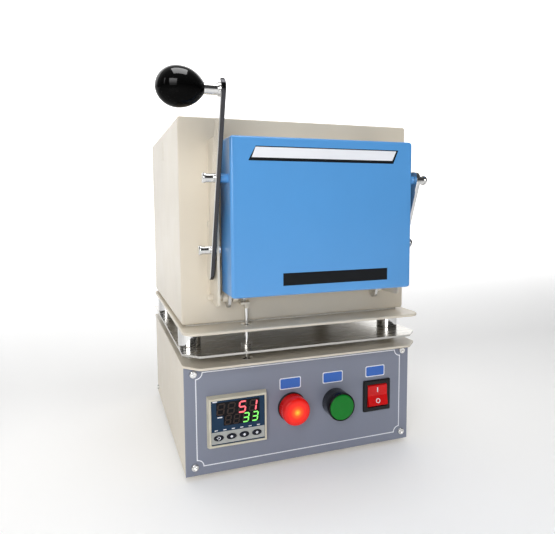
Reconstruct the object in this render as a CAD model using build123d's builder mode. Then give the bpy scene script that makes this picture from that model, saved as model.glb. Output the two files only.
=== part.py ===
from build123d import *
from math import cos, radians, sin, tan
import os

os.makedirs("parts", exist_ok=True)

# A bench muffle furnace: a small chamber furnace on a control base, with a parallelogram lever door.
# X runs to the right, Y to the rear and Z up. The origin is the middle of the base's underside.

# Driving sizes of the control base
base_width = 240.0
base_depth = 236.0
base_height = 105.0
foot_height = 5.0
foot_radius = 9.0
foot_inset = 22.0
cover_sheet = 1.5
chassis_sheet = 2.0
flange_height = 15.0
cheek_depth = 37.0
panel_seam = 0.4
panel_thickness = 2.0
lid_thickness = 2.0

# Driving sizes of the plates between the base and the furnace
plate_front_overhang = 14.0
plate_rear_overhang = 3.0
plate_left_overhang = 1.0
plate_right_overhang = 6.0
plate_corner_cut = 14.0
shield_gap = 9.5
shield_thickness = 2.0
standoff_height = 18.5
standoff_radius = 11.0
standoff_inset_x = 12.0
standoff_inset_y = 36.0
tray_thickness = 2.5
tray_corner_radius = 13.0
pad_thickness = 2.5
pad_inset = 5.0

# Driving sizes of the furnace body
body_width = 238.0
body_depth = 224.0
body_height = 191.0
body_setback = 11.0
body_bend = 2.5
chamber_width = 100.0
chamber_height = 94.0
chamber_depth = 120.0
chamber_rise = 58.0
muffle_wall = 12.0
collar_border = 15.0
collar_proud = 10.0
element_radius = 2.0
element_count = 5
element_spacing = 16.0
thermocouple_radius = 3.0
thermocouple_reach = 18.0

# Driving sizes of the door
door_width = 172.5
door_height = 134.0
door_depth = 35.0
door_sheet = 1.5
door_gap = 26.1
door_clear_of_tray = 35.5
door_bend = 3.0
plug_lip = 12.0

# Driving sizes of the door mechanism
link_length = 64.6
closed_lean = 19.4
open_swing = 120.0
bar_width = 16.0
bar_thickness = 4.0
lever_reach = 143.0
knob_reach = 134.3
lever_tail = 28.6
pivot_to_body = 29.5
pivot_drop = 95.0
fin_thickness = 2.2
fin_to_door = 3.75
fin_overlap = 5.0
fin_flange = 10.0
fin_to_bar = 1.4
pivot_shank = 2.5
hub_radius = 3.8
hub_length = 7.5
head_radius = 4.5
head_length = 2.5
boss_radius = 3.8
shaft_radius = 3.0
link_width = 12.0
link_thickness = 3.0
link_tail = 11.2
link_to_door_skin = 6.3
knob_length = 36.0
knob_radius = 15.2
ferrule_length = 12.0
ferrule_radius = 4.4
rod_radius = 1.8
rod_lift = 3.0
cam_reach = 6.2

# Driving sizes of the controls, as seen from the front
controller_x = -70.3
controller_z = 50.7
controller_width = 58.5
controller_height = 49.5
controller_proud = 6.0
controller_taper = 1.25
window_width = 52.5
window_height = 43.0
window_recess = 0.8
case_width = 45.0
case_height = 41.0
case_depth = 80.0
key_width = 9.6
key_height = 5.6
key_pitch = 12.4
key_travel = 0.6
lamp_x = -14.3
lamp_z = 53.9
button_x = 33.2
button_z = 52.5
control_hole = 11.0
collar_radius = 14.6
lamp_lens_radius = 13.9
lamp_proud = 16.0
button_cap_radius = 12.8
button_proud = 17.0
button_travel = 3.5
rocker_x = 81.2
rocker_z = 53.1
rocker_frame_width = 31.5
rocker_frame_height = 33.0
rocker_width = 22.4
rocker_height = 21.6

# Clearances
running = 0.05
slip = 0.3
sheet_slip = 0.4

# Places worked out from the driving sizes
base_top = base_height
base_front = -base_depth / 2
base_back = base_depth / 2
half_base = base_width / 2
panel_back = base_front + panel_thickness
lid_top = base_top + lid_thickness
shield_bottom = lid_top + shield_gap
shield_top = shield_bottom + shield_thickness
tray_bottom = shield_top + standoff_height
tray_top = tray_bottom + tray_thickness
body_bottom = tray_top + pad_thickness
body_top = body_bottom + body_height
body_front = base_front + body_setback
body_back = body_front + body_depth
half_body = body_width / 2
plate_left = -half_base - plate_left_overhang
plate_right = half_base + plate_right_overhang
plate_front = base_front - plate_front_overhang
plate_back = base_back + plate_rear_overhang
plate_length_x = plate_right - plate_left
plate_length_y = plate_back - plate_front
plate_centre = ((plate_left + plate_right) / 2, (plate_front + plate_back) / 2)

chamber_floor = body_bottom + chamber_rise
chamber_centre_z = chamber_floor + chamber_height / 2
door_bottom = tray_top + door_clear_of_tray
door_top = door_bottom + door_height
door_centre_z = (door_bottom + door_top) / 2
door_back = body_front - door_gap
door_front = door_back - door_depth
half_door = door_width / 2

lean = radians(closed_lean)
along_link = (0, -sin(lean), cos(lean))
rise = link_length * cos(lean)
run = link_length * sin(lean)
lower_pivot = (body_front - pivot_to_body, door_top - pivot_drop)
upper_pivot = (lower_pivot[0] - run, lower_pivot[1] + rise)
shaft_axis = (body_front - link_tail - 0.8, door_bottom - shaft_radius - 3.1)
link_eye = (shaft_axis[0] - run, shaft_axis[1] + rise)
fin_inner = half_door + fin_to_door
fin_outer = fin_inner + fin_thickness
fin_front = lower_pivot[0] - fin_overlap
fin_bottom = shaft_axis[1] - shaft_radius - 2.3
fin_top = door_top + 2.7
bar_inner = fin_outer + fin_to_bar
fin_lip = fin_to_bar - sheet_slip
bar_outer = bar_inner + bar_thickness
head_start = bar_outer + hub_length + running
link_outer = half_door - door_sheet - link_to_door_skin
link_inner = link_outer - link_thickness
rod_x = -58.4
rod_y = panel_back + rod_radius + 1.2
controller_centre = (controller_x, controller_z)


def on_lever(distance):
    """A point on the lever's line, this far above the lower pivot, as (y, z)."""
    return (lower_pivot[0] - distance * sin(lean), lower_pivot[1] + distance * cos(lean))


def export(part, name):
    """Name the piece and write it to its file."""
    part.label = name
    export_step(part, f"parts/{name}.step")


# Rubber feet, each a tapered disc under the chassis
foot_x = half_base - foot_inset
foot_y = base_depth / 2 - foot_inset
with BuildPart() as rubber_feet:
    with BuildSketch(Plane.XY):
        with GridLocations(2 * foot_x, 2 * foot_y, 2, 2):
            Circle(foot_radius)
    extrude(amount=-foot_height, taper=6)
export(rubber_feet.part, "rubber_feet")

# Chassis: a floor, low side flanges and the two front cheeks that show beside the front panel
inner_x = half_base - cover_sheet
screw_shank = 1.5
screw_head = 3.2
side_screw_y = base_back - 12.0
side_screw_z = 9.0
with BuildPart() as chassis:
    with BuildSketch(Plane.XY):
        with Locations((0, (panel_back + base_back - cover_sheet) / 2)):
            Rectangle(2 * inner_x, base_back - cover_sheet - panel_back)
    extrude(amount=chassis_sheet)
    with BuildSketch(Plane.XY):
        with Locations((0, base_front + panel_thickness + (cheek_depth - panel_thickness) / 2)):
            with GridLocations(2 * half_base - cover_sheet, 0, 2, 1):
                Rectangle(cover_sheet, cheek_depth - panel_thickness)
    extrude(amount=base_height)
    with BuildSketch(Plane.XY):
        with Locations((0, (panel_back + base_back - cover_sheet) / 2)):
            with GridLocations(2 * inner_x - cover_sheet, 0, 2, 1):
                Rectangle(cover_sheet, base_back - cover_sheet - panel_back)
    extrude(amount=flange_height)
    for side in (-1, 1):
        with BuildSketch(Plane.YZ.offset(side * half_base)):
            with Locations((side_screw_y, side_screw_z)):
                Circle(screw_shank)
        extrude(amount=-side * 3 * cover_sheet, mode=Mode.SUBTRACT)
export(chassis.part, "chassis")

# Side panels behind the cheeks, each with two shallow pressed creases and a turned rear lip
crease_depth = 0.6
crease_width = 2.4
crease_heights = (0.51 * base_height, 0.82 * base_height)
side_front = base_front + cheek_depth + panel_seam
for side, side_name in ((-1, "left_side_panel"), (1, "right_side_panel")):
    with BuildPart() as side_panel:
        with BuildSketch(Plane.XY):
            with Locations((side * (half_base - cover_sheet / 2), (side_front + base_back) / 2)):
                Rectangle(cover_sheet, base_back - side_front)
        extrude(amount=base_height)
        with BuildSketch(Plane.XZ.offset(-side_front)):
            for height in crease_heights:
                with Locations((side * half_base, height)):
                    with BuildLine():
                        Polyline(
                            (0, crease_width / 2),
                            (-side * crease_depth, 0),
                            (0, -crease_width / 2),
                            close=True,
                        )
                    make_face()
        extrude(amount=-base_depth, mode=Mode.SUBTRACT)
        with Locations(Plane.YZ.offset(side * half_base)):
            with Locations((side_screw_y, side_screw_z)):
                Hole(radius=screw_shank + slip / 2)
    export(side_panel.part, side_name)

# Front panel with its four control openings and corner screw holes
panel_screw_inset = 8.5
panel_screw_low = 9.0
panel_screw_high = base_height - 6.8
panel_screw_radius = 1.9
panel_screw_places = [
    (side * (half_base - panel_screw_inset), height)
    for side in (-1, 1)
    for height in (panel_screw_low, panel_screw_high)
]
rocker_cut_width = rocker_width + 4.6
rocker_cut_height = rocker_height + 6.4
front_plane = Plane.XZ.offset(-base_front)
with BuildPart() as front_panel:
    with BuildSketch(front_plane):
        with Locations((0, base_height / 2)):
            Rectangle(base_width, base_height)
        with Locations(controller_centre):
            Rectangle(case_width + 2 * sheet_slip, case_height + 2 * sheet_slip, mode=Mode.SUBTRACT)
        with Locations((lamp_x, lamp_z), (button_x, button_z)):
            Circle(control_hole + slip / 2, mode=Mode.SUBTRACT)
        with Locations((rocker_x, rocker_z)):
            Rectangle(rocker_cut_width, rocker_cut_height, mode=Mode.SUBTRACT)
        with Locations(*panel_screw_places):
            Circle(panel_screw_radius + slip / 2, mode=Mode.SUBTRACT)
    extrude(amount=-panel_thickness)
    chamfer(front_panel.faces().sort_by(Axis.Y)[0].outer_wire().edges(), 0.7)
export(front_panel.part, "front_panel")

# Pan-head screws at the corners of the front panel, with a cross recess
panel_head_radius = 3.9
panel_head_height = 2.3
with BuildPart() as panel_screws:
    with BuildSketch(front_plane):
        with Locations(*panel_screw_places):
            Circle(panel_head_radius)
    extrude(amount=panel_head_height, taper=16)
    fillet(panel_screws.edges().group_by(Axis.Y)[0], 0.9)
    with BuildSketch(Plane.XZ.offset(-base_front + panel_head_height)):
        with Locations(*panel_screw_places):
            Rectangle(3.6, 0.8, rotation=25)
            Rectangle(0.8, 3.6, rotation=25)
    extrude(amount=-1.1, mode=Mode.SUBTRACT)
    with BuildSketch(front_plane):
        with Locations(*panel_screw_places):
            Circle(panel_screw_radius)
    extrude(amount=-panel_thickness - 5.0)
export(panel_screws.part, "panel_screws")

# Rear panel with cooling slots and the opening for the power inlet
vent_count = 9
vent_pitch = 8.0
vent_length = 46.0
inlet_x = 70.0
inlet_z = 0.42 * base_height
inlet_width = 27.0
inlet_height = 20.0
rear_plane = Plane.XZ.offset(-base_back)
with BuildPart() as rear_panel:
    with BuildSketch(rear_plane):
        with Locations((0, base_height / 2)):
            Rectangle(2 * inner_x - 2 * sheet_slip, base_height)
        with Locations((-0.25 * base_width, 0.62 * base_height)):
            with GridLocations(vent_pitch, 0, vent_count, 1):
                SlotOverall(vent_length, 3.0, rotation=90, mode=Mode.SUBTRACT)
        with Locations((inlet_x, inlet_z)):
            Rectangle(inlet_width + 2 * sheet_slip, inlet_height + 2 * sheet_slip, mode=Mode.SUBTRACT)
    extrude(amount=cover_sheet)
export(rear_panel.part, "rear_panel")

# Power inlet: a moulded socket with three blades
inlet_flange = 8.0
with BuildPart() as power_inlet:
    with BuildSketch(rear_plane):
        with Locations((inlet_x, inlet_z)):
            Rectangle(inlet_width + 2 * inlet_flange, inlet_height + 4)
    extrude(amount=-2.5)
    with BuildSketch(rear_plane):
        with Locations((inlet_x, inlet_z)):
            Rectangle(inlet_width, inlet_height)
    extrude(amount=22.0)
    with BuildSketch(Plane.XZ.offset(-base_back - 2.5)):
        with Locations((inlet_x, inlet_z)):
            Rectangle(inlet_width - 3.0, inlet_height - 3.5)
    extrude(amount=17.0, mode=Mode.SUBTRACT)
    with BuildSketch(Plane.XZ.offset(-base_back + 14.6)):
        with Locations((inlet_x - 7, inlet_z - 1.5), (inlet_x, inlet_z + 2), (inlet_x + 7, inlet_z - 1.5)):
            Rectangle(2.0, 4.0)
    extrude(amount=-12.0)
export(power_inlet.part, "power_inlet")


# The outline shared by the lid and the heat shield: square at the rear, cut corners in front
plate_outline = [
    (plate_left, plate_back),
    (plate_left, plate_front + plate_corner_cut),
    (plate_left + plate_corner_cut, plate_front),
    (plate_right - plate_corner_cut, plate_front),
    (plate_right, plate_front + plate_corner_cut),
    (plate_right, plate_back),
]

# Lid plate of the base, with a hole for the interlock rod
rod_hole = 5.5
with BuildPart() as lid_plate:
    with BuildSketch(Plane.XY.offset(base_top)):
        with BuildLine():
            Polyline(*plate_outline, close=True)
        make_face()
        with Locations((rod_x, rod_y)):
            Circle(rod_hole, mode=Mode.SUBTRACT)
    extrude(amount=lid_thickness)
    fillet(lid_plate.edges().filter_by(Axis.Z).group_by(Axis.Y)[0], 4.0)
    fillet(lid_plate.edges().filter_by(Axis.Z).group_by(Axis.Y)[-1], 3.0)
export(lid_plate.part, "lid_plate")

# Short spacers that hold the heat shield off the lid
standoff_places = [
    (x, y)
    for x in (plate_left + standoff_inset_x, plate_right - standoff_inset_x - 2.0)
    for y in (plate_front + standoff_inset_y + 8.0, plate_back - standoff_inset_y)
]
with BuildPart() as lower_spacers:
    with BuildSketch(Plane.XY.offset(lid_top)):
        with Locations(*standoff_places):
            Circle(standoff_radius - 3.0)
    extrude(amount=shield_gap)
export(lower_spacers.part, "lower_spacers")

# Stainless heat shield with cut corners
bush_radius = 4.2
with BuildPart() as heat_shield:
    with BuildSketch(Plane.XY.offset(shield_bottom)):
        with BuildLine():
            Polyline(*plate_outline, close=True)
        make_face()
        with Locations((rod_x, rod_y)):
            Circle(bush_radius, mode=Mode.SUBTRACT)
    extrude(amount=shield_thickness)
    fillet(heat_shield.edges().filter_by(Axis.Z).group_by(Axis.Y)[0], 3.0)
export(heat_shield.part, "heat_shield")

# Chromed standoffs between the heat shield and the tray
with BuildPart() as standoffs:
    with BuildSketch(Plane.XY.offset(shield_top)):
        with Locations(*standoff_places):
            Circle(standoff_radius)
    extrude(amount=standoff_height)
    chamfer(standoffs.edges().filter_by(GeomType.CIRCLE), 0.6)
export(standoffs.part, "standoffs")

# Tray under the furnace, with round front corners and the clearance hole for the rod
with BuildPart() as tray:
    with BuildSketch(Plane.XY.offset(tray_bottom)):
        with Locations(plate_centre):
            RectangleRounded(plate_length_x, plate_length_y, tray_corner_radius)
        with Locations((rod_x, rod_y + 2.0)):
            Circle(rod_hole, mode=Mode.SUBTRACT)
    extrude(amount=tray_thickness)
    chamfer(tray.faces().sort_by(Axis.Z)[-1].outer_wire().edges(), 0.6)
export(tray.part, "tray")

# Insulating pad between the tray and the furnace body
with BuildPart() as insulating_pad:
    with BuildSketch(Plane.XY.offset(tray_top)):
        with Locations((0, (body_front + body_back) / 2)):
            Rectangle(body_width - 2 * pad_inset, body_depth - 2 * pad_inset)
    extrude(amount=pad_thickness)
export(insulating_pad.part, "insulating_pad")

# Furnace body shell: a bent sheet box, open at the rear, with the chamber opening in its front
body_plane = Plane.XZ.offset(-body_front)
body_centre_z = body_bottom + body_height / 2
slot_y = body_front + 108.0
slot_z = body_top - 20.0
slot_length = 20.0
slot_width = 2.2
with BuildPart() as body_shell:
    with BuildSketch(body_plane):
        with Locations((0, body_centre_z)):
            Rectangle(body_width, body_height)
    extrude(amount=-body_depth)
    fillet(body_shell.edges().filter_by(Axis.Y), body_bend)
    fillet(body_shell.faces().sort_by(Axis.Y)[0].edges(), body_bend / 2)
    with BuildSketch(Plane.XZ.offset(-body_front - cover_sheet)):
        with Locations((0, body_centre_z)):
            RectangleRounded(body_width - 2 * cover_sheet, body_height - 2 * cover_sheet, body_bend - 1)
    extrude(amount=-body_depth, mode=Mode.SUBTRACT)
    with BuildSketch(body_plane):
        with Locations((0, chamber_centre_z)):
            Rectangle(chamber_width + 2 * muffle_wall, chamber_height + 2 * muffle_wall)
    extrude(amount=-cover_sheet, mode=Mode.SUBTRACT)
    with BuildSketch(Plane.YZ.offset(-half_body)):
        with Locations((slot_y, slot_z)):
            SlotOverall(slot_length, slot_width, rotation=90)
        with Locations((slot_y + 1.4, slot_z - slot_length / 2 + slot_width / 2)):
            SlotOverall(slot_width + 2.8, slot_width)
    extrude(amount=cover_sheet, mode=Mode.SUBTRACT)
export(body_shell.part, "body_shell")

# Rear cover of the furnace, with folded sides that slip inside the shell
cover_screw_inset = 12.0
cover_screw_places = [
    (side * (half_body - cover_screw_inset), height)
    for side in (-1, 1)
    for height in (body_bottom + cover_screw_inset, body_top - cover_screw_inset)
]
back_plane = Plane.XZ.offset(-body_back)
rear_cover_width = body_width - 2 * cover_sheet - 2 * sheet_slip
rear_cover_height = body_height - 2 * cover_sheet - 2 * sheet_slip
with BuildPart() as rear_cover:
    with BuildSketch(back_plane):
        with Locations((0, body_centre_z)):
            RectangleRounded(rear_cover_width, rear_cover_height, 1.2)
        with Locations((0, chamber_centre_z)):
            Circle(thermocouple_radius + 1.5, mode=Mode.SUBTRACT)
        with Locations(*cover_screw_places):
            Circle(screw_shank + slip / 2, mode=Mode.SUBTRACT)
        with Locations((0, body_bottom + 22)):
            with GridLocations(12, 0, 9, 1):
                SlotOverall(16, 3, rotation=90, mode=Mode.SUBTRACT)
    extrude(amount=cover_sheet)
export(rear_cover.part, "rear_cover")

# Pan-head screws of the covers: one near the rear of each side panel and four in the rear cover
screw_head_height = 1.8
screw_length = cover_sheet + 4.0
side_seats = [
    Plane((side * half_base, side_screw_y, side_screw_z), x_dir=(0, 1, 0), z_dir=(side, 0, 0))
    for side in (-1, 1)
]
rear_seats = [
    Plane((x, body_back, height), x_dir=(1, 0, 0), z_dir=(0, 1, 0))
    for x, height in cover_screw_places
]
with BuildPart() as cover_screws:
    for seat in side_seats + rear_seats:
        with BuildSketch(seat):
            Circle(screw_head)
        extrude(amount=screw_head_height, taper=14)
        with BuildSketch(seat):
            Circle(screw_shank)
        extrude(amount=-screw_length)
export(cover_screws.part, "cover_screws")

# Fibre insulation that fills the shell around the muffle
fibre_front = body_front + cover_sheet
fibre_back = body_back - cover_sheet - 12.0
muffle_front = body_front
muffle_back = muffle_front + chamber_depth + muffle_wall
with BuildPart() as insulation:
    with BuildSketch(Plane.XZ.offset(-fibre_front)):
        with Locations((0, body_centre_z)):
            Rectangle(body_width - 2 * cover_sheet - 2.0, body_height - 2 * cover_sheet - 2.0)
    extrude(amount=-(fibre_back - fibre_front))
    with BuildSketch(Plane.XZ.offset(-fibre_front)):
        with Locations((0, chamber_centre_z)):
            Rectangle(chamber_width + 2 * muffle_wall, chamber_height + 2 * muffle_wall)
    extrude(amount=-(muffle_back - fibre_front), mode=Mode.SUBTRACT)
    with BuildSketch(Plane.XZ.offset(-muffle_back)):
        with Locations((0, chamber_centre_z)):
            Circle(thermocouple_radius + 0.5)
    extrude(amount=-(fibre_back - muffle_back), mode=Mode.SUBTRACT)
export(insulation.part, "insulation")

# Muffle: the ceramic chamber, with grooves for the heating elements in both side walls
element_length = chamber_depth - 16.0
element_rows = [(row - (element_count - 1) / 2) * element_spacing for row in range(element_count)]
element_places = [
    (side * (chamber_width / 2 + element_radius / 2), chamber_centre_z + row)
    for side in (-1, 1)
    for row in element_rows
]
element_front = Plane.XZ.offset(-muffle_front - 8.0)
with BuildPart() as muffle_chamber:
    with BuildSketch(Plane.XZ.offset(-muffle_front)):
        with Locations((0, chamber_centre_z)):
            Rectangle(chamber_width + 2 * muffle_wall - slip, chamber_height + 2 * muffle_wall - slip)
    extrude(amount=-(muffle_back - muffle_front))
    with BuildSketch(Plane.XZ.offset(-muffle_front)):
        with Locations((0, chamber_centre_z)):
            Rectangle(chamber_width, chamber_height)
    extrude(amount=-chamber_depth, mode=Mode.SUBTRACT)
    with BuildSketch(element_front):
        with Locations(*element_places):
            Circle(element_radius + 0.5)
    extrude(amount=-element_length, mode=Mode.SUBTRACT)
    with BuildSketch(Plane.XZ.offset(-muffle_front)):
        with Locations((0, chamber_centre_z)):
            Circle(thermocouple_radius + slip)
    extrude(amount=-(muffle_back - muffle_front), mode=Mode.SUBTRACT)
export(muffle_chamber.part, "muffle_chamber")

# Heating elements: straight rods in the wall grooves, let into the rear end of each groove
with BuildPart() as heating_elements:
    with BuildSketch(Plane.XZ.offset(-muffle_front - 8.0)):
        with Locations(*element_places):
            Circle(element_radius)
    extrude(amount=-element_length)
export(heating_elements.part, "heating_elements")

# Thermocouple: a ceramic sheath through the rear wall, with its terminal head outside
head_block = 26.0
with BuildPart() as thermocouple:
    with BuildSketch(Plane.XZ.offset(-(muffle_back - muffle_wall - thermocouple_reach))):
        with Locations((0, chamber_centre_z)):
            Circle(thermocouple_radius)
    extrude(amount=-(body_back + 0.3 - (muffle_back - muffle_wall - thermocouple_reach)))
    with BuildSketch(Plane.XZ.offset(-body_back - 0.3)):
        with Locations((0, chamber_centre_z)):
            RectangleRounded(head_block, head_block * 0.7, 3.0)
    extrude(amount=-14.0)
export(thermocouple.part, "thermocouple")

# Front collar: the ceramic frame around the chamber opening
collar_width = chamber_width + 2 * collar_border
collar_height = chamber_height + 2 * collar_border
with BuildPart() as front_collar:
    with BuildSketch(body_plane):
        with Locations((0, chamber_centre_z)):
            Rectangle(collar_width, collar_height)
            Rectangle(chamber_width, chamber_height, mode=Mode.SUBTRACT)
    extrude(amount=collar_proud)
    chamfer(front_collar.faces().sort_by(Axis.Y)[0].outer_wire().edges(), 1.5)
export(front_collar.part, "front_collar")

# Door shell: a drawn pan, open towards the furnace, with a pivot boss on each side and the lower pivot studs
door_plane = Plane.XZ.offset(-door_back)
stud_end = link_inner - 1.2
pan_width = door_width - 2 * door_sheet
pan_height = door_height - 2 * door_sheet
with BuildPart() as door_shell:
    with BuildSketch(door_plane):
        with Locations((0, door_centre_z)):
            Rectangle(door_width, door_height)
    extrude(amount=door_depth)
    fillet(door_shell.edges().filter_by(Axis.Y), door_bend)
    fillet(door_shell.faces().sort_by(Axis.Y)[0].edges(), door_bend * 0.8)
    with BuildSketch(door_plane):
        with Locations((0, door_centre_z)):
            RectangleRounded(pan_width, pan_height, door_bend - door_sheet * 0.8)
    extrude(amount=door_depth - door_sheet, mode=Mode.SUBTRACT)
    for side in (-1, 1):
        boss_plane = Plane((side * (half_door - 0.6), *upper_pivot), x_dir=(0, 1, 0), z_dir=(side, 0, 0))
        with BuildSketch(boss_plane):
            Circle(boss_radius)
        extrude(amount=bar_inner - slip - half_door + 0.6)
        with BuildSketch(boss_plane.offset(bar_inner - slip - half_door + 0.6)):
            Circle(pivot_shank)
        extrude(amount=-(bar_inner - slip - half_door + 5.0), mode=Mode.SUBTRACT)
        stud_plane = Plane((side * (half_door - 0.6), *link_eye), x_dir=(0, 1, 0), z_dir=(-side, 0, 0))
        with BuildSketch(stud_plane):
            Circle(hub_radius)
        extrude(amount=half_door - 0.6 - link_outer - slip)
        with BuildSketch(stud_plane):
            Circle(pivot_shank)
        extrude(amount=half_door - 0.6 - stud_end)
export(door_shell.part, "door_shell")

# Door insulation inside the shell, narrow enough to leave the links their channels
fibre_half = link_inner - 4.0
with BuildPart() as door_insulation:
    with BuildSketch(Plane.XZ.offset(-door_back + door_sheet)):
        with Locations((0, door_centre_z)):
            Rectangle(2 * fibre_half, pan_height - 2.0)
    extrude(amount=door_depth - 2 * door_sheet)
export(door_insulation.part, "door_insulation")

# Door liner: the rear sheet of the door, with a slot for each lower link
eye_depth = door_back - link_eye[0] + door_sheet
open_rest = radians(180.0 - open_swing - closed_lean)
slot_low = link_eye[1] - eye_depth / tan(lean) - link_width / 2 / sin(lean) - 2.0
slot_high = link_eye[1] + eye_depth / tan(open_rest) + link_width / 2 / sin(open_rest) + 2.0
with BuildPart() as door_liner:
    with BuildSketch(door_plane):
        with Locations((0, door_centre_z)):
            Rectangle(pan_width - 2 * sheet_slip, pan_height - 2 * sheet_slip)
        with Locations((0, (slot_low + slot_high) / 2)):
            with GridLocations(link_outer + link_inner, 0, 2, 1):
                Rectangle(link_thickness + 4.0, slot_high - slot_low, mode=Mode.SUBTRACT)
    extrude(amount=door_sheet)
    fillet(door_liner.edges().filter_by(Axis.Y).group_by(Axis.Z)[0], 1.2)
    fillet(door_liner.edges().filter_by(Axis.Y).group_by(Axis.Z)[-1], 1.2)
export(door_liner.part, "door_liner")

# Door plug: the ceramic block that closes against the front collar
plug_width = chamber_width + 2 * plug_lip
plug_height = chamber_height + 2 * plug_lip
plug_depth = door_gap - collar_proud - 0.5
with BuildPart() as door_plug:
    with BuildSketch(door_plane):
        with Locations((0, chamber_centre_z)):
            Rectangle(plug_width, plug_height)
    extrude(amount=-plug_depth, taper=5)
    chamfer(door_plug.faces().sort_by(Axis.Y)[-1].edges(), 1.5)
export(door_plug.part, "door_plug")

# Stop stud of the left fin: the lever rests on it when closed, and its tail meets it when open
half_swing = radians((180.0 - open_swing) / 2)
stop_radius = 3.0
stop_reach = (bar_width / 2 + stop_radius + slip) / sin(half_swing)
stop_lean = lean - half_swing
stop_place = (lower_pivot[0] - stop_reach * sin(stop_lean), lower_pivot[1] + stop_reach * cos(stop_lean))

# Fin brackets: sheet sides that carry the lower pivots and the cross shaft
fin_screw_heights = (fin_bottom + 32.0, (fin_bottom + fin_top) / 2, fin_top - 14.0)
fin_screw_x = fin_inner - fin_flange / 2 - 0.5
fin_foot = fin_flange + fin_lip + fin_thickness
for side, fin_name in ((-1, "left_fin"), (1, "right_fin")):
    with BuildPart() as fin:
        with BuildSketch(Plane.YZ.offset(side * fin_inner)):
            with Locations(((fin_front + body_front) / 2, (fin_bottom + fin_top) / 2)):
                Rectangle(body_front - fin_front, fin_top - fin_bottom)
        extrude(amount=side * fin_thickness)
        fillet(fin.edges().filter_by(Axis.X).group_by(Axis.Y)[0], 4.0)
        with BuildSketch(body_plane):
            with Locations((side * (fin_outer + fin_lip - fin_foot / 2), (fin_bottom + fin_top) / 2)):
                RectangleRounded(fin_foot, fin_top - fin_bottom, 2.0)
        extrude(amount=fin_thickness)
        with Locations(Plane.YZ.offset(side * fin_outer)):
            with Locations(lower_pivot):
                Hole(radius=pivot_shank)
            with Locations(shaft_axis):
                Hole(radius=shaft_radius + running)
        with Locations(Plane.XZ.offset(-body_front + fin_thickness)):
            with Locations(*[(side * fin_screw_x, height) for height in fin_screw_heights]):
                Hole(radius=screw_shank + slip / 2)
        if side < 0:
            with BuildSketch(Plane((-fin_outer, *stop_place), x_dir=(0, 1, 0), z_dir=(-1, 0, 0))):
                Circle(stop_radius)
            extrude(amount=bar_outer - fin_outer + 0.5)
    export(fin.part, fin_name)

# Screws that hold the fins to the furnace front
with BuildPart() as fin_screws:
    for side in (-1, 1):
        with BuildSketch(Plane.XZ.offset(-body_front + fin_thickness)):
            with Locations(*[(side * fin_screw_x, height) for height in fin_screw_heights]):
                Circle(screw_head - 0.4)
        extrude(amount=1.6, taper=14)
        with BuildSketch(Plane.XZ.offset(-body_front + fin_thickness)):
            with Locations(*[(side * fin_screw_x, height) for height in fin_screw_heights]):
                Circle(screw_shank)
        extrude(amount=-fin_thickness)
export(fin_screws.part, "fin_screws")


def pivot_pins(pivot, inner_x, inner_radius, inner_flange):
    """A pair of domed pins through the bars, each with its hub, on the two sides of the door."""
    with BuildPart() as pins:
        for side in (-1, 1):
            base = Plane((side * inner_x, *pivot), x_dir=(0, 1, 0), z_dir=(side, 0, 0))
            with BuildSketch(base):
                Circle(inner_radius)
            extrude(amount=inner_flange)
            with BuildSketch(base):
                Circle(pivot_shank)
            extrude(amount=head_start - inner_x)
            with BuildSketch(base.offset(bar_outer + running - inner_x)):
                Circle(hub_radius)
            extrude(amount=hub_length)
            with BuildSketch(base.offset(head_start - inner_x)):
                Circle(head_radius)
            extrude(amount=head_length)
        fillet(pins.faces().filter_by(Axis.X).sort_by(Axis.X)[0].edges(), head_length * 0.6)
        fillet(pins.faces().filter_by(Axis.X).sort_by(Axis.X)[-1].edges(), head_length * 0.6)
    return pins.part


# Lower pivot pins, riveted through the fins, and upper pivot pins, screwed into the door's bosses
rivet_height = 1.4
export(pivot_pins(lower_pivot, fin_inner - rivet_height, pivot_shank + 1.5, rivet_height), "lower_pivot_pins")
export(pivot_pins(upper_pivot, half_door - 3.0, pivot_shank, 1.0), "upper_pivot_pins")

# Washers between the fins and the bars
washer_thickness = bar_inner - fin_outer - 2 * running
with BuildPart() as pivot_washers:
    for side in (-1, 1):
        washer_place = (side * (fin_outer + running), *lower_pivot)
        washer_plane = Plane(washer_place, x_dir=(0, 1, 0), z_dir=(side, 0, 0))
        with BuildSketch(washer_plane):
            Circle(hub_radius + 0.6)
            Circle(pivot_shank + running, mode=Mode.SUBTRACT)
        extrude(amount=washer_thickness)
export(pivot_washers.part, "pivot_washers")

def flat_bar(side, low, high, name):
    """A flat bar with full-round ends along the lever's line, bored for both pivots."""
    with BuildPart() as bar:
        bar_plane = Plane((side * bar_inner, *lower_pivot), x_dir=along_link, z_dir=(side, 0, 0))
        with BuildSketch(bar_plane):
            with Locations(((high + low) / 2, 0)):
                SlotOverall(high - low, bar_width)
            with Locations((0, 0), (link_length, 0)):
                Circle(pivot_shank + running, mode=Mode.SUBTRACT)
        extrude(amount=bar_thickness)
        chamfer(bar.faces().filter_by(Axis.X).sort_by(Axis.X)[0].outer_wire().edges(), 0.5)
        chamfer(bar.faces().filter_by(Axis.X).sort_by(Axis.X)[-1].outer_wire().edges(), 0.5)
    export(bar.part, name)


# Lever on the left, with its tail, and the short arm on the right
flat_bar(-1, -lever_tail, lever_reach, "lever")
flat_bar(1, -bar_width / 2, link_length + bar_width / 2, "right_arm")

# Ferrule and egg-shaped knob at the head of the lever
knob_axis = on_lever(knob_reach)
ferrule_plane = Plane((-bar_outer, *knob_axis), x_dir=(0, 1, 0), z_dir=(-1, 0, 0))
with BuildPart() as knob_ferrule:
    with BuildSketch(ferrule_plane):
        Circle(ferrule_radius + 0.9)
    extrude(amount=1.4)
    with BuildSketch(ferrule_plane):
        Circle(ferrule_radius)
    extrude(amount=ferrule_length)
export(knob_ferrule.part, "knob_ferrule")

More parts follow.
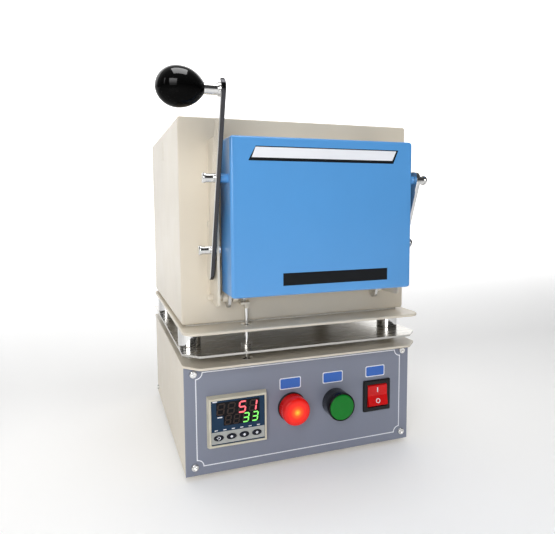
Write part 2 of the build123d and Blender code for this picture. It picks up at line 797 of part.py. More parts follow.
neck_radius = ferrule_radius + 0.5
knob_waist = 0.54 * knob_length
with BuildPart() as knob:
    with BuildSketch(Plane((-bar_outer - ferrule_length, *knob_axis), x_dir=(-1, 0, 0), z_dir=(0, -1, 0))):
        with BuildLine():
            Line((0, 0), (0, neck_radius))
            Bezier(
                (0, neck_radius),
                (0.1 * knob_length, 0.66 * knob_radius),
                (0.27 * knob_length, knob_radius),
                (knob_waist, knob_radius),
            )
            Bezier(
                (knob_waist, knob_radius),
                (knob_waist + 0.55 * (knob_length - knob_waist), knob_radius),
                (knob_length, 0.55 * knob_radius),
                (knob_length, 0),
            )
            Line((knob_length, 0), (0, 0))
        make_face()
    revolve(axis=Axis((-bar_outer, *knob_axis), (-1, 0, 0)))
export(knob.part, "knob")

# Cross shaft under the door, with domed ends
shaft_end = fin_outer + 4.8
with BuildPart() as cross_shaft:
    with BuildSketch(Plane((-shaft_end, *shaft_axis), x_dir=(0, 1, 0), z_dir=(1, 0, 0))):
        Circle(shaft_radius)
    extrude(amount=2 * shaft_end)
    fillet(cross_shaft.edges().filter_by(GeomType.CIRCLE), shaft_radius * 0.6)
export(cross_shaft.part, "cross_shaft")

# Lower links, keyed to the cross shaft and bored for the door's studs
with BuildPart() as lower_links:
    for side in (-1, 1):
        with BuildSketch(Plane((side * link_inner, *shaft_axis), x_dir=along_link, z_dir=(side, 0, 0))):
            with Locations(((link_length + link_width / 2 - link_tail) / 2, 0)):
                SlotOverall(link_length + link_width / 2 + link_tail, link_width)
            Circle(shaft_radius, mode=Mode.SUBTRACT)
            with Locations((link_length, 0)):
                Circle(pivot_shank + running, mode=Mode.SUBTRACT)
        extrude(amount=link_thickness)
export(lower_links.part, "lower_links")

# Collars on the cross shaft beside the links
with BuildPart() as shaft_collars:
    for side, start in ((-1, link_outer + slip), (1, link_outer + slip), (-1, link_inner - 6.6)):
        with BuildSketch(Plane((side * start, *shaft_axis), x_dir=(0, 1, 0), z_dir=(side, 0, 0))):
            Circle(shaft_radius + 2.2)
            Circle(shaft_radius, mode=Mode.SUBTRACT)
        extrude(amount=4.5)
export(shaft_collars.part, "shaft_collars")

# Snail cam on the cross shaft: its radius falls evenly as the door opens
cam_width = 3.6
cam_x = rod_x - rod_radius - cam_width - 0.6
cam_steps = 12
cam_turn = radians(open_swing)
cam_points = []
for step in range(cam_steps + 1):
    share = step / cam_steps
    angle = radians(-90.0) - share * cam_turn
    radius = cam_reach - share * rod_lift
    cam_points.append((radius * cos(angle), radius * sin(angle)))
with BuildPart() as snail_cam:
    with BuildSketch(Plane((cam_x, *shaft_axis), x_dir=(0, 1, 0), z_dir=(1, 0, 0))):
        with BuildLine():
            Spline(*cam_points)
            Line(cam_points[-1], (0, cam_reach - rod_lift + 1.4))
            Line((0, cam_reach - rod_lift + 1.4), (cam_reach - rod_lift + 1.4, 0))
            Line((cam_reach - rod_lift + 1.4, 0), cam_points[0])
        make_face()
        Circle(shaft_radius, mode=Mode.SUBTRACT)
    extrude(amount=cam_width)
export(snail_cam.part, "snail_cam")

# Interlock rod, which the cam pushes down through the tray and the heat shield
cam_gap = 0.5
cap_top = shaft_axis[1] - cam_reach - cam_gap
cap_thickness = 2.2
rod_top = cap_top - 7.0
rod_bottom = base_top - 14.0
with BuildPart() as interlock_rod:
    with BuildSketch(Plane.XY.offset(rod_bottom)):
        with Locations((rod_x, rod_y)):
            Circle(rod_radius)
    extrude(amount=rod_top - rod_bottom)
    fillet(interlock_rod.edges().group_by(Axis.Z)[0], rod_radius * 0.5)
export(interlock_rod.part, "interlock_rod")

# Cap of the rod: a bent strip that reaches under the cam and stands on the rod
cap_right = rod_x + rod_radius + 0.2
cap_left = cam_x - 1.0
with BuildPart() as rod_cap:
    with BuildSketch(Plane.XY.offset(cap_top)):
        with Locations(((cap_left + cap_right) / 2, (shaft_axis[0] - 1.5 + rod_y + 1.9) / 2)):
            Rectangle(cap_right - cap_left, rod_y + 1.9 - (shaft_axis[0] - 1.5))
    extrude(amount=-cap_thickness)
    with BuildSketch(Plane.XY.offset(cap_top)):
        with Locations(((rod_x - rod_radius - 0.2 + cap_right) / 2, rod_y)):
            Rectangle(cap_right - (rod_x - rod_radius - 0.2), 3.8)
    extrude(amount=-(cap_top - rod_top))
export(rod_cap.part, "rod_cap")

# Guide bush of the rod in the heat shield
bush_height = 3.0
with BuildPart() as guide_bush:
    with BuildSketch(Plane.XY.offset(shield_bottom)):
        with Locations((rod_x, rod_y)):
            Circle(bush_radius - running)
    extrude(amount=shield_thickness)
    with BuildSketch(Plane.XY.offset(shield_top)):
        with Locations((rod_x, rod_y)):
            Circle(bush_radius + 1.2)
    extrude(amount=bush_height)
    fillet(guide_bush.edges().group_by(Axis.Z)[-1], 0.8)
    with BuildSketch(Plane.XY.offset(shield_bottom)):
        with Locations((rod_x, rod_y)):
            Circle(rod_radius + running)
    extrude(amount=shield_thickness + bush_height, mode=Mode.SUBTRACT)
export(guide_bush.part, "guide_bush")

# Interlock switch, hung from the lid under the rod
switch_width = 10.0
switch_length = 20.0
switch_height = 16.0
plunger_radius = 1.5
plunger_height = 2.2
switch_top = rod_bottom - slip - plunger_height
switch_front = rod_y - plunger_radius - 0.9
with BuildPart() as interlock_switch:
    with BuildSketch(Plane.XY.offset(rod_bottom - slip)):
        with Locations((rod_x, rod_y)):
            Circle(plunger_radius)
    extrude(amount=-plunger_height)
    with BuildSketch(Plane.XY.offset(switch_top)):
        with Locations((rod_x, switch_front + switch_length / 2)):
            Rectangle(switch_width, switch_length)
    extrude(amount=-switch_height)
    with BuildSketch(Plane.XY.offset(base_top)):
        with Locations((rod_x, switch_front + switch_length)):
            Rectangle(switch_width + 4.0, 2 * chassis_sheet)
    extrude(amount=-(base_top - switch_top + switch_height))
export(interlock_switch.part, "interlock_switch")

# Controller case behind the panel
with BuildPart() as controller_case:
    with BuildSketch(front_plane):
        with Locations(controller_centre):
            Rectangle(case_width, case_height)
    extrude(amount=-case_depth)
export(controller_case.part, "controller_case")

# Controller bezel: a tapered frame with a shallow window
with BuildPart() as controller_bezel:
    with BuildSketch(front_plane):
        with Locations(controller_centre):
            Rectangle(controller_width, controller_height)
    with BuildSketch(Plane.XZ.offset(-base_front + controller_proud)):
        with Locations(controller_centre):
            Rectangle(controller_width - 2 * controller_taper, controller_height - 2 * controller_taper)
    loft()
    fillet(controller_bezel.edges().group_by(Axis.Y)[0], 0.8)
    with BuildSketch(front_plane):
        with Locations(controller_centre):
            Rectangle(window_width, window_height)
    extrude(amount=controller_proud, mode=Mode.SUBTRACT)
export(controller_bezel.part, "controller_bezel")

# Controller face: the dark window and key field, with a hole for each key
key_row_z = controller_z - window_height / 2 + 7.0
key_places = [(controller_x + (index - 1.5) * key_pitch - 0.6, key_row_z) for index in range(4)]
face_front = controller_proud - window_recess
with BuildPart() as controller_face:
    with BuildSketch(front_plane):
        with Locations(controller_centre):
            Rectangle(window_width - slip, window_height - slip)
        with Locations(*key_places):
            Ellipse(key_width / 2 + slip / 2, key_height / 2 + slip / 2, mode=Mode.SUBTRACT)
    extrude(amount=face_front)
export(controller_face.part, "controller_face")

# Keys of the controller, each an oval cap that moves through the face
for place, key_name in zip(key_places, ("mode_key", "shift_key", "down_key", "up_key")):
    with BuildPart() as key:
        with BuildSketch(Plane.XZ.offset(-base_front + key_travel)):
            with Locations(place):
                Ellipse(key_width / 2, key_height / 2)
        extrude(amount=face_front + 0.3)
        fillet(key.edges().group_by(Axis.Y)[0], 0.4)
    export(key.part, key_name)


def control_place(centre, proud):
    """The plane of a round control, this far in front of the panel."""
    return Plane((centre[0], base_front - proud, centre[1]), x_dir=(1, 0, 0), z_dir=(0, -1, 0))


# Pilot lamp: a stepped red lens on a dark body with its seat ring and nut
seat_height = 2.5
lamp_centre = (lamp_x, lamp_z)
lens_step = 4.5
with BuildPart() as lamp_lens:
    with BuildSketch(control_place(lamp_centre, seat_height)):
        Circle(lamp_lens_radius)
    extrude(amount=lamp_proud - seat_height - lens_step)
    fillet(lamp_lens.edges().group_by(Axis.Y)[0], 2.2)
    with BuildSketch(control_place(lamp_centre, lamp_proud - lens_step)):
        Circle(lamp_lens_radius - 3.0)
    extrude(amount=lens_step)
    fillet(lamp_lens.edges().group_by(Axis.Y)[0], 3.6)
export(lamp_lens.part, "lamp_lens")

with BuildPart() as lamp_body:
    with BuildSketch(control_place(lamp_centre, 0)):
        Circle(collar_radius)
    extrude(amount=seat_height)
    fillet(lamp_body.edges().group_by(Axis.Y)[0], 0.8)
    with BuildSketch(control_place(lamp_centre, 0)):
        Circle(control_hole)
    extrude(amount=-panel_thickness - 28.0)
    with BuildSketch(control_place(lamp_centre, -panel_thickness)):
        RegularPolygon(control_hole + 3.5, 6)
    extrude(amount=-4.0)
export(lamp_body.part, "lamp_body")

# Push button: black guard ring, green cap and contact block
button_centre = (button_x, button_z)
ring_height = button_proud - 4.0
stem_radius = 6.0
stem_depth = 14.0
with BuildPart() as button_collar:
    with BuildSketch(control_place(button_centre, 0)):
        Circle(collar_radius)
    extrude(amount=ring_height)
    fillet(button_collar.edges().group_by(Axis.Y)[0], 0.9)
    with BuildSketch(control_place(button_centre, ring_height)):
        Circle(button_cap_radius + slip)
    extrude(amount=-(ring_height - 3.0), mode=Mode.SUBTRACT)
    with BuildSketch(control_place(button_centre, 0)):
        Circle(stem_radius + slip)
    extrude(amount=ring_height, mode=Mode.SUBTRACT)
export(button_collar.part, "button_collar")

cap_depth = button_proud - 3.0 - button_travel - 0.5
with BuildPart() as button_cap:
    with BuildSketch(control_place(button_centre, button_proud)):
        Circle(button_cap_radius)
    extrude(amount=-cap_depth)
    fillet(button_cap.edges().group_by(Axis.Y)[0], 1.2)
    with BuildSketch(control_place(button_centre, button_proud - cap_depth)):
        Circle(stem_radius)
    extrude(amount=-(button_proud - cap_depth + stem_depth))
export(button_cap.part, "button_cap")

with BuildPart() as contact_block:
    with BuildSketch(control_place(button_centre, 0)):
        Circle(control_hole)
        Circle(stem_radius + slip, mode=Mode.SUBTRACT)
    extrude(amount=-stem_depth - button_travel - 1.0)
    with BuildSketch(control_place(button_centre, -stem_depth - button_travel - 1.0)):
        Rectangle(24.0, 30.0)
    extrude(amount=-18.0)
    with BuildSketch(control_place(button_centre, -panel_thickness)):
        RegularPolygon(control_hole + 3.5, 6)
        Circle(control_hole, mode=Mode.SUBTRACT)
    extrude(amount=-4.0)
export(contact_block.part, "contact_block")

# Rocker switch: black frame with its body, and the red rocker on its axle
rocker_centre = (rocker_x, rocker_z)
frame_height = 2.4
well_depth = 9.0
axle_depth = 2.0
axle_radius = 1.2
axle_place = (base_front + axle_depth, rocker_z)
rocker_end = rocker_height / 2 + 1.2
well_height = 2 * rocker_end + 2 * slip
with BuildPart() as rocker_frame:
    with BuildSketch(control_place(rocker_centre, 0)):
        RectangleRounded(rocker_frame_width, rocker_frame_height, 0.8)
    extrude(amount=frame_height)
    chamfer(rocker_frame.faces().sort_by(Axis.Y)[0].edges(), 0.7)
    with BuildSketch(control_place(rocker_centre, 0)):
        Rectangle(rocker_cut_width - 2 * sheet_slip, rocker_cut_height - 2 * sheet_slip)
    extrude(amount=-24.0)
    with BuildSketch(control_place(rocker_centre, frame_height)):
        Rectangle(rocker_width + 2 * slip, well_height)
    extrude(amount=-(frame_height + well_depth), mode=Mode.SUBTRACT)
    with BuildSketch(Plane((rocker_x, *axle_place), x_dir=(0, 1, 0), z_dir=(1, 0, 0))):
        Circle(axle_radius + running)
    extrude(amount=rocker_width / 2 + 1.4, both=True, mode=Mode.SUBTRACT)
export(rocker_frame.part, "rocker_frame")

# The rocker's ends are arcs about its axle, and its face is a shallow V, tilted to the pressed upper half
rocker_swing = 14.0
face_edge = axle_depth + frame_height + 1.8
face_middle = face_edge - 1.0
face_half = (rocker_end**2 - face_edge**2) ** 0.5
rocker_side = Plane((rocker_x - rocker_width / 2, *axle_place), x_dir=(0, 1, 0), z_dir=(1, 0, 0))
pressed = rocker_side.rotated((-rocker_swing / 2, 0, 0))
with BuildPart() as rocker:
    with BuildSketch(pressed):
        Circle(rocker_end)
        with Locations((rocker_end / 4, 0)):
            Rectangle(2 * rocker_end, 2 * rocker_end, align=(Align.MIN, Align.CENTER), mode=Mode.SUBTRACT)
        with BuildLine():
            Polyline(
                (-face_middle, 0),
                (-face_edge, -face_half),
                (-2 * face_edge, -2 * face_half),
                (-2 * face_edge, 2 * face_half),
                (-face_edge, face_half),
                close=True,
            )
        make_face(mode=Mode.SUBTRACT)
    extrude(amount=rocker_width)
    with BuildSketch(Plane((rocker_x, *axle_place), x_dir=(0, 1, 0), z_dir=(1, 0, 0))):
        Circle(axle_radius)
    extrude(amount=rocker_width / 2 + 1.2, both=True)
export(rocker.part, "rocker")

# Solid state relay on the chassis floor, with its four terminals
relay_place = (-40.0, 35.0)
relay_width = 45.0
relay_length = 60.0
relay_plate = 6.0
relay_height = 24.0
terminal_radius = 3.5
with BuildPart() as relay:
    with BuildSketch(Plane.XY.offset(chassis_sheet)):
        with Locations(relay_place):
            Rectangle(relay_width, relay_length)
    extrude(amount=relay_plate)
    with BuildSketch(Plane.XY.offset(chassis_sheet + relay_plate)):
        with Locations(relay_place):
            RectangleRounded(relay_width - 2.0, relay_length - 4.0, 2.0)
    extrude(amount=relay_height - relay_plate)
    with BuildSketch(Plane.XY.offset(chassis_sheet + relay_height)):
        with Locations(relay_place):
            with GridLocations(relay_width - 17.0, relay_length - 16.0, 2, 2):
                Circle(terminal_radius)
    extrude(amount=2.5)
export(relay.part, "relay")

# Terminal block beside the relay
block_place = (30.0, 40.0)
block_width = 20.0
block_height = 16.0
way_count = 5
way_pitch = 11.0
with BuildPart() as terminal_block:
    with BuildSketch(Plane.XY.offset(chassis_sheet)):
        with Locations(block_place):
            Rectangle(way_count * way_pitch + 1.0, block_width)
    extrude(amount=block_height)
    with BuildSketch(Plane.XY.offset(chassis_sheet + block_height)):
        with Locations(block_place):
            with GridLocations(way_pitch, 0, way_count, 1):
                Rectangle(way_pitch - 2.5, block_width - 6.0)
    extrude(amount=-0.3 * block_height, mode=Mode.SUBTRACT)
export(terminal_block.part, "terminal_block")
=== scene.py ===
from math import cos, pi, radians, sin, tan

import bmesh
import bpy
from mathutils import Matrix, Vector


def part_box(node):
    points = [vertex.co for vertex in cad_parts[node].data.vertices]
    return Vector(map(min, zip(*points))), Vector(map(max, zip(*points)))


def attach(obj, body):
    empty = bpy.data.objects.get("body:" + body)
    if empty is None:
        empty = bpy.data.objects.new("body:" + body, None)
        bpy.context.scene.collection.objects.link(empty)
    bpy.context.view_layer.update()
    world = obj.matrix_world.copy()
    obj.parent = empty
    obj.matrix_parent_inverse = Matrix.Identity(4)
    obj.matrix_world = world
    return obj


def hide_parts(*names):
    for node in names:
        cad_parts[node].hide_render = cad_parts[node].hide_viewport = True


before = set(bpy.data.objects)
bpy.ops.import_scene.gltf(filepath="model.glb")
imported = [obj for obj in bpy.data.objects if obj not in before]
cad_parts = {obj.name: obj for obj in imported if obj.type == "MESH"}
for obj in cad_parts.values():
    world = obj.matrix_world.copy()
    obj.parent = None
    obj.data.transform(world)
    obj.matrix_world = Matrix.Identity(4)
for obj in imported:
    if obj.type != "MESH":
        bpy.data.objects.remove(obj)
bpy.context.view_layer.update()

MM = 0.001


# Node helpers
def new_material(name):
    """An empty node material with one Principled shader."""
    material = bpy.data.materials.new(name)
    material.use_nodes = True
    tree = material.node_tree
    tree.nodes.clear()
    output = tree.nodes.new("ShaderNodeOutputMaterial")
    shader = tree.nodes.new("ShaderNodeBsdfPrincipled")
    tree.links.new(shader.outputs["BSDF"], output.inputs["Surface"])
    return material, tree, shader


def noise(tree, scale, detail=3.0, stretch=(1, 1, 1)):
    """A noise pattern in the object's own metres; scale is in features per metre."""
    place = tree.nodes.new("ShaderNodeTexCoord")
    mapping = tree.nodes.new("ShaderNodeMapping")
    mapping.inputs["Scale"].default_value = stretch
    pattern = tree.nodes.new("ShaderNodeTexNoise")
    pattern.inputs["Scale"].default_value = scale
    pattern.inputs["Detail"].default_value = detail
    tree.links.new(place.outputs["Object"], mapping.inputs["Vector"])
    tree.links.new(mapping.outputs["Vector"], pattern.inputs["Vector"])
    return pattern.outputs["Fac"]


def ranged(tree, value, low, high, start=0.3, stop=0.7):
    """The pattern's value spread between low and high."""
    node = tree.nodes.new("ShaderNodeMapRange")
    node.inputs["From Min"].default_value = start
    node.inputs["From Max"].default_value = stop
    node.inputs["To Min"].default_value = low
    node.inputs["To Max"].default_value = high
    tree.links.new(value, node.inputs["Value"])
    return node.outputs["Result"]


def ramp(tree, value, stops):
    """A colour ramp with (position, colour) stops."""
    node = tree.nodes.new("ShaderNodeValToRGB")
    points = node.color_ramp.elements
    while len(points) < len(stops):
        points.new(0.5)
    for point, (position, colour) in zip(points, stops):
        point.position = position
        point.color = (*colour, 1)
    tree.links.new(value, node.inputs["Fac"])
    return node.outputs["Color"]


def bump(tree, shader, value, depth):
    """Relief of this depth in metres."""
    node = tree.nodes.new("ShaderNodeBump")
    node.inputs["Distance"].default_value = depth
    node.inputs["Strength"].default_value = 1.0
    tree.links.new(value, node.inputs["Height"])
    tree.links.new(node.outputs["Normal"], shader.inputs["Normal"])


def position(tree, axis):
    """The object's own coordinate along one axis, in metres."""
    place = tree.nodes.new("ShaderNodeTexCoord")
    split = tree.nodes.new("ShaderNodeSeparateXYZ")
    tree.links.new(place.outputs["Object"], split.inputs["Vector"])
    return split.outputs[axis]


def shade(colour, amount):
    """The colour made darker or lighter by this factor."""
    return tuple(min(1.0, part * amount) for part in colour)


def set_sockets(shader, **values):
    """Numbers and colours that are the same all over the surface, set on the shader's own sockets."""
    for name, value in values.items():
        shader.inputs[name.replace("_", " ")].default_value = value


# Kinds of material. Grain is in features per metre, and depth is the relief in metres.
def paint(name, colour, roughness, grain, depth, coat, cloud=0.04):
    """Baked enamel: faint clouding, an orange-peel skin and a slightly uneven gloss."""
    material, tree, shader = new_material(name)
    clouds = noise(tree, 9, 4)
    tone = ramp(tree, clouds, [(0.3, shade(colour, 1 - cloud)), (0.7, shade(colour, 1 + cloud))])
    tree.links.new(tone, shader.inputs["Base Color"])
    peel = noise(tree, grain, 2)
    gloss = ranged(tree, noise(tree, 40, 5), roughness - 0.05, roughness + 0.06)
    tree.links.new(gloss, shader.inputs["Roughness"])
    bump(tree, shader, peel, depth)
    set_sockets(shader, Coat_Weight=coat, Coat_Roughness=0.12)
    return material


def metal(name, colour, roughness, streak, depth, spread=0.05, painted_reflection=None):
    """Polished or brushed metal, its fine marks drawn out along one direction.

    A painted reflection is (axis, start, stop, colour ramp stops): a painted reflection that scales the metal's
    colour across the piece, in metres.
    """
    material, tree, shader = new_material(name)
    marks = noise(tree, 1, 5, streak)
    tone = ramp(tree, marks, [(0.25, shade(colour, 0.86)), (0.75, colour)])
    # Painted reflection: the ramp darkens the metal's colour across the piece, standing in for dark surroundings
    # reflected in it.
    if painted_reflection:
        axis, start, stop, stops = painted_reflection
        across = ramp(tree, ranged(tree, position(tree, axis), 0, 1, start, stop), stops)
        mix = tree.nodes.new("ShaderNodeVectorMath")
        mix.operation = "MULTIPLY"
        tree.links.new(tone, mix.inputs[0])
        tree.links.new(across, mix.inputs[1])
        tone = mix.outputs["Vector"]
    tree.links.new(tone, shader.inputs["Base Color"])
    tree.links.new(ranged(tree, marks, roughness - spread, roughness + spread), shader.inputs["Roughness"])
    bump(tree, shader, marks, depth)
    set_sockets(shader, Metallic=1.0)
    return material


def plastic(name, colour, roughness, grain, depth, coat=0.0, glow=0.0, shine=0.5):
    """Moulded plastic with a fine tool texture."""
    material, tree, shader = new_material(name)
    clouds = noise(tree, 60, 3)
    tone = ramp(tree, clouds, [(0.3, shade(colour, 0.93)), (0.7, shade(colour, 1.06))])
    tree.links.new(tone, shader.inputs["Base Color"])
    gloss = ranged(tree, noise(tree, 150, 4), roughness - 0.03, roughness + 0.05)
    tree.links.new(gloss, shader.inputs["Roughness"])
    bump(tree, shader, noise(tree, grain, 2), depth)
    set_sockets(shader, Coat_Weight=coat, Coat_Roughness=0.05, Specular_IOR_Level=shine)
    if glow:
        tree.links.new(tone, shader.inputs["Emission Color"])
        set_sockets(shader, Emission_Strength=glow)
    return material


def knob_gloss(middle, reach):
    """Glossy black phenolic, shiniest over its upper half; its middle height and half height are in metres."""
    material, tree, shader = new_material("knob_gloss")
    tone = ramp(tree, noise(tree, 60, 3), [(0.3, (0.0015, 0.0015, 0.0015)), (0.7, (0.0025, 0.0025, 0.0025))])
    tree.links.new(tone, shader.inputs["Base Color"])
    polish = ranged(tree, position(tree, "Z"), 0.04, 0.7, middle - 0.1 * reach, middle + 0.5 * reach)
    tree.links.new(polish, shader.inputs["Specular IOR Level"])
    tree.links.new(ranged(tree, noise(tree, 150, 4), 0.05, 0.09), shader.inputs["Roughness"])
    bump(tree, shader, noise(tree, 1500, 2), 0.000002)
    return material


def ceramic(name, colour, roughness, grain, depth):
    """Matte fired ceramic or fibre board with a felted, speckled skin."""
    material, tree, shader = new_material(name)
    specks = noise(tree, grain, 6)
    tone = ramp(tree, specks, [(0.3, shade(colour, 0.86)), (0.6, colour), (0.8, shade(colour, 1.05))])
    tree.links.new(tone, shader.inputs["Base Color"])
    tree.links.new(ranged(tree, specks, roughness - 0.05, roughness + 0.05), shader.inputs["Roughness"])
    bump(tree, shader, specks, depth)
    return material


def lamp_glass(name, centre, radius):
    """Red lens lit from behind: yellow at its middle, through orange to deep red at its rim."""
    material, tree, shader = new_material(name)
    place = tree.nodes.new("ShaderNodeTexCoord")
    offset = tree.nodes.new("ShaderNodeVectorMath")
    offset.operation = "SUBTRACT"
    offset.inputs[1].default_value = (centre[0], 0, centre[1])
    flat = tree.nodes.new("ShaderNodeVectorMath")
    flat.operation = "MULTIPLY"
    flat.inputs[1].default_value = (1, 0, 1)
    length = tree.nodes.new("ShaderNodeVectorMath")
    length.operation = "LENGTH"
    tree.links.new(place.outputs["Object"], offset.inputs[0])
    tree.links.new(offset.outputs["Vector"], flat.inputs[0])
    tree.links.new(flat.outputs["Vector"], length.inputs[0])
    reach = ranged(tree, length.outputs["Value"], 0, 1, 0, radius)
    light = ramp(tree, reach, LAMP_GLOW)
    tree.links.new(light, shader.inputs["Emission Color"])
    tone = ramp(tree, noise(tree, 80, 3), [(0.3, (0.32, 0.004, 0.003)), (0.7, (0.38, 0.006, 0.004))])
    tree.links.new(tone, shader.inputs["Base Color"])
    tree.links.new(ranged(tree, noise(tree, 200, 3), 0.12, 0.2), shader.inputs["Roughness"])
    set_sockets(shader, Emission_Strength=0.9, Specular_IOR_Level=0.35)
    return material


LAMP_GLOW = [
    (0.0, (1.0, 0.78, 0.06)),
    (0.10, (1.0, 0.50, 0.03)),
    (0.26, (1.0, 0.13, 0.01)),
    (0.5, (0.85, 0.02, 0.006)),
    (0.85, (0.55, 0.006, 0.004)),
    (1.0, (0.30, 0.003, 0.003)),
]

# The materials, with the numbers in the order that their kinds take them
CREAM = (0.72, 0.655, 0.545)
cream = paint("cream_enamel", CREAM, 0.42, 900, 0.00002, 0.15)
panel_paint = paint("panel_enamel", (0.225, 0.245, 0.315), 0.45, 1400, 0.00002, 0.1)
door_paint = paint("door_enamel", (0.095, 0.335, 0.72), 0.33, 800, 0.000015, 0.35, 0.03)
white_ink = paint("white_ink", (0.86, 0.88, 0.93), 0.5, 2500, 0.000005, 0.0)
label_blue = paint("label_blue", (0.034, 0.145, 0.56), 0.4, 2500, 0.000005, 0.0)
strip_black = plastic("strip_black", (0.008, 0.009, 0.011), 0.35, 2500, 0.000005, shine=0.2)
chrome = metal("chrome", (0.78, 0.775, 0.765), 0.10, (900, 900, 60), 0.000002, 0.04)
lever_low, lever_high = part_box("lever")
# Lever chrome with a painted reflection: its colour stays bright for about half a millimetre in from the bar's left
# face and is painted nearly black beyond, for the dark room reflected in the bar's front edge.
lever_chrome_painted_reflection = metal(
    "lever_chrome_painted_reflection", (0.80, 0.795, 0.785), 0.10, (900, 900, 60), 0.000002, 0.04,
    ("X", lever_low.x, lever_low.x + 1.0 * MM, [(0.0, (1, 1, 1)), (0.42, (1, 1, 1)), (0.55, (0.09, 0.09, 0.10))]),
)
satin_steel = metal("satin_steel", (0.62, 0.61, 0.59), 0.30, (700, 700, 700), 0.000004, 0.08)
sheet_steel = metal("sheet_steel", (0.60, 0.585, 0.55), 0.24, (30, 1100, 1100), 0.000004, 0.10)
zinc = metal("zinc_plate", (0.60, 0.60, 0.56), 0.36, (300, 300, 300), 0.000005, 0.08)
black_gloss = plastic("black_gloss", (0.002, 0.002, 0.002), 0.07, 1500, 0.000002, shine=0.3)
black_satin = plastic("black_satin", (0.006, 0.006, 0.007), 0.30, 1800, 0.00001, shine=0.3)
cream_plastic = plastic("cream_plastic", (0.66, 0.62, 0.50), 0.42, 1800, 0.00001)
window_blue = plastic("window_blue", (0.010, 0.036, 0.080), 0.22, 2500, 0.000003, shine=0.2)
digit_field = plastic("digit_field", (0.004, 0.004, 0.006), 0.2, 2500, 0.000002, shine=0.15)
strip_grey = plastic("strip_grey", (0.42, 0.43, 0.41), 0.35, 2500, 0.000003, 0.2)
key_dark = plastic("key_dark", (0.003, 0.005, 0.014), 0.25, 2500, 0.000003, shine=0.3)
digit_unlit = plastic("digit_unlit", (0.040, 0.025, 0.020), 0.3, 2500, 0.000002, shine=0.2)
digit_red = plastic("digit_red", (0.95, 0.13, 0.16), 0.3, 2500, 0.000002, 0.0, 0.85)
digit_green = plastic("digit_green", (0.22, 0.85, 0.14), 0.3, 2500, 0.000002, 0.0, 0.7)
knob_low, knob_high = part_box("knob")
knob_black = knob_gloss((knob_low.z + knob_high.z) / 2, (knob_high.z - knob_low.z) / 2)
green_cap = plastic("green_cap", (0.003, 0.20, 0.018), 0.22, 1500, 0.000006, shine=0.25)
red_rocker = plastic("red_rocker", (0.60, 0.005, 0.006), 0.16, 1500, 0.000004, 0.0, 0.12, 0.3)
grey_plastic = plastic("grey_plastic", (0.2, 0.2, 0.21), 0.5, 1500, 0.00001)
rubber = plastic("rubber", (0.018, 0.018, 0.018), 0.75, 1200, 0.00003)
fibre = ceramic("fibre_board", (0.80, 0.78, 0.73), 0.93, 700, 0.00015)
fired = ceramic("fired_ceramic", (0.72, 0.68, 0.60), 0.8, 500, 0.0001)
element = metal("oxidised_wire", (0.10, 0.085, 0.08), 0.6, (600, 600, 600), 0.00002, 0.08)

NODE_MATERIALS = {
    cream: [
        "body_shell", "chassis", "left_side_panel", "right_side_panel", "rear_panel", "lid_plate", "rear_cover",
        "tray", "left_fin", "right_fin", "cross_shaft", "rod_cap", "shaft_collars",
    ],
    panel_paint: ["front_panel"],
    door_paint: ["door_shell"],
    satin_steel: ["door_liner", "guide_bush", "snail_cam", "lower_links"],
    sheet_steel: ["heat_shield"],
    chrome: [
        "standoffs", "right_arm", "lower_pivot_pins", "upper_pivot_pins", "knob_ferrule", "interlock_rod",
        "panel_screws",
    ],
    lever_chrome_painted_reflection: ["lever"],
    zinc: ["cover_screws", "fin_screws", "lower_spacers", "pivot_washers"],
    knob_black: ["knob"],
    black_gloss: ["button_collar"],
    black_satin: ["rocker_frame", "power_inlet", "interlock_switch", "lamp_body"],
    cream_plastic: ["controller_bezel", "terminal_block"],
    window_blue: ["controller_face"],
    key_dark: ["mode_key", "shift_key", "down_key", "up_key"],
    green_cap: ["button_cap"],
    red_rocker: ["rocker"],
    grey_plastic: ["controller_case", "contact_block", "relay"],
    rubber: ["rubber_feet"],
    fibre: ["insulation", "door_insulation", "door_plug", "insulating_pad"],
    fired: ["muffle_chamber", "front_collar", "thermocouple"],
    element: ["heating_elements"],
}


def dress(node, material):
    """Gives a carried-over solid its material."""
    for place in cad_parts[node].material_slots:
        place.material = material


for material, names in NODE_MATERIALS.items():
    for name in names:
        dress(name, material)


# Mesh helpers
def make_piece(name, build, material, body, smooth=True):
    """A mesh piece built by a function, with its material, riding on a body."""
    mesh = bpy.data.meshes.new(name)
    work = bmesh.new()
    build(work)
    bmesh.ops.recalc_face_normals(work, faces=work.faces)
    work.to_mesh(mesh)
    work.free()
    mesh.materials.append(material)
    piece = bpy.data.objects.new(name, mesh)
    bpy.context.scene.collection.objects.link(piece)
    if smooth:
        for face in mesh.polygons:
            face.use_smooth = True
    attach(piece, body)
    return piece


def prism(work, rear_points, face_points):
    """A closed solid between two outlines that have the same number of points."""
    rear = [work.verts.new(point) for point in rear_points]
    face = [work.verts.new(point) for point in face_points]
    work.faces.new(face)
    work.faces.new(rear[::-1])
    count = len(rear)
    for index in range(count):
        after = (index + 1) % count
        work.faces.new((rear[index], rear[after], face[after], face[index]))


def plate(work, outline, back, front):
    """A flat plate with this (x, z) outline, from y = back to y = front, towards the viewer."""
    prism(work, [(x, back, z) for x, z in outline], [(x, front, z) for x, z in outline])


def rounded(centre, width, height, radius, steps=6):
    """The outline of a rectangle with round corners."""
    points = []
    for quarter in range(4):
        turn = radians(90 * quarter)
        side_x = 1 if quarter in (0, 3) else -1
        side_z = 1 if quarter < 2 else -1
        middle = (centre[0] + side_x * (width / 2 - radius), centre[1] + side_z * (height / 2 - radius))
        for step in range(steps + 1):
            angle = turn + radians(90) * step / steps
            points.append((middle[0] + radius * cos(angle), middle[1] + radius * sin(angle)))
    return points


